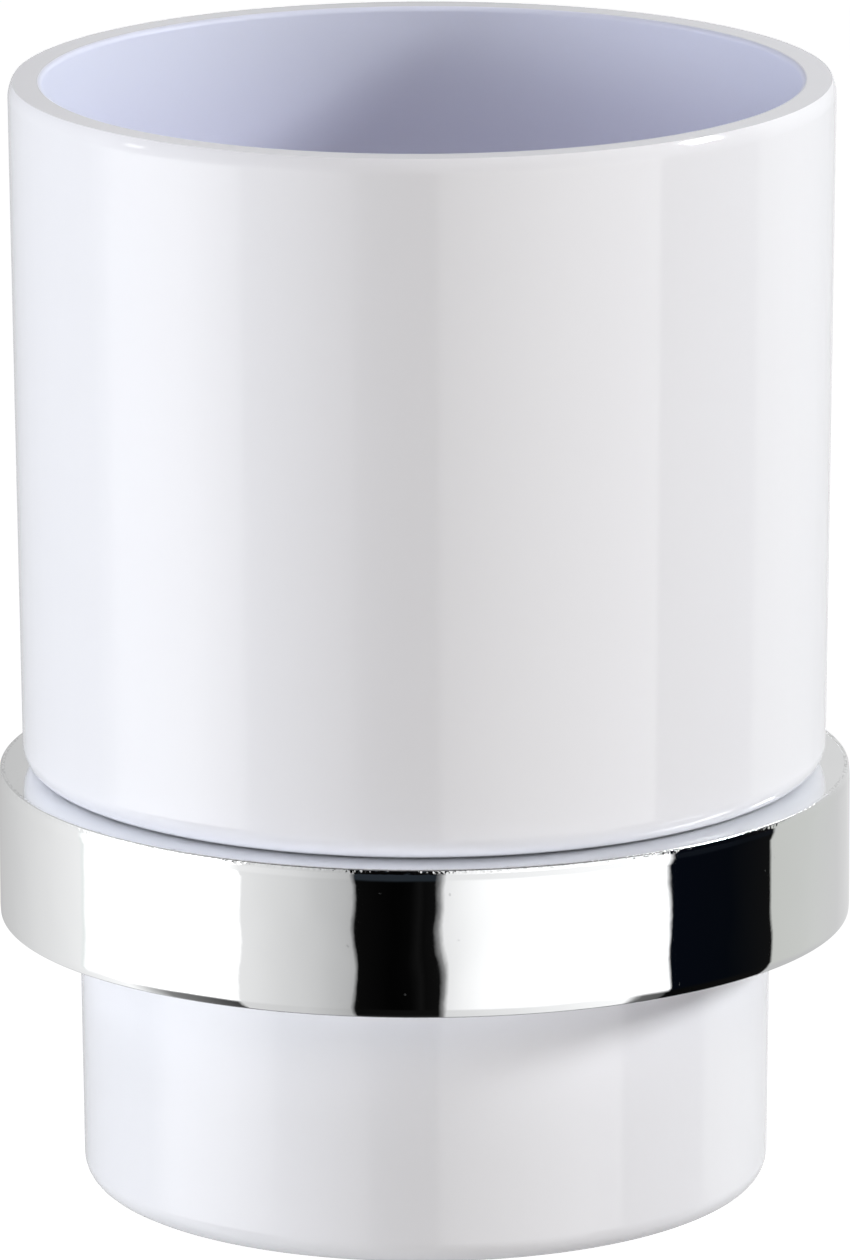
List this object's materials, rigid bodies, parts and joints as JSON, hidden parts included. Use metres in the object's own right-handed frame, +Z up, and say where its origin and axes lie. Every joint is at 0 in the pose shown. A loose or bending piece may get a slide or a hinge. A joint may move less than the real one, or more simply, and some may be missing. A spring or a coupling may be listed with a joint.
{
  "type": "wall-mounted bathroom tumbler",
  "caption": "White stepped bathroom cup hanging by its shoulder in a flat chrome ring on a short post with a round rosette, fixed to the wall by a hidden dovetail bracket.",
  "frame": {"origin": "middle of the rosette on the wall's face", "axes": "+X to the user's right, +Y into the wall, +Z up; the ring's mid height is at z = 0 and the cup stands towards -Y"},
  "size_m": [0.075, 0.1265, 0.0989],
  "materials": {
    "white_glaze": "gloss",
    "chrome": "polished",
    "stainless": "machined",
    "zinc": "zinc plated"
  },
  "bodies": {
    "holder": {"holder_ring": "chrome", "ring_screw": "stainless", "arm_post": "chrome", "rosette": "chrome", "lock_washer": "stainless", "post_screw": "stainless", "wall_bracket": "zinc", "grub_screw": "stainless", "wall_screws": "zinc"},
    "cup": {"tumbler": "white_glaze"}
  },
  "joints": [
    {"name": "tumbler_lift", "type": "slide", "parent": "holder", "child": "cup", "axis": [0, 0, 1], "range_m": [0, 0.06]}
  ]
}
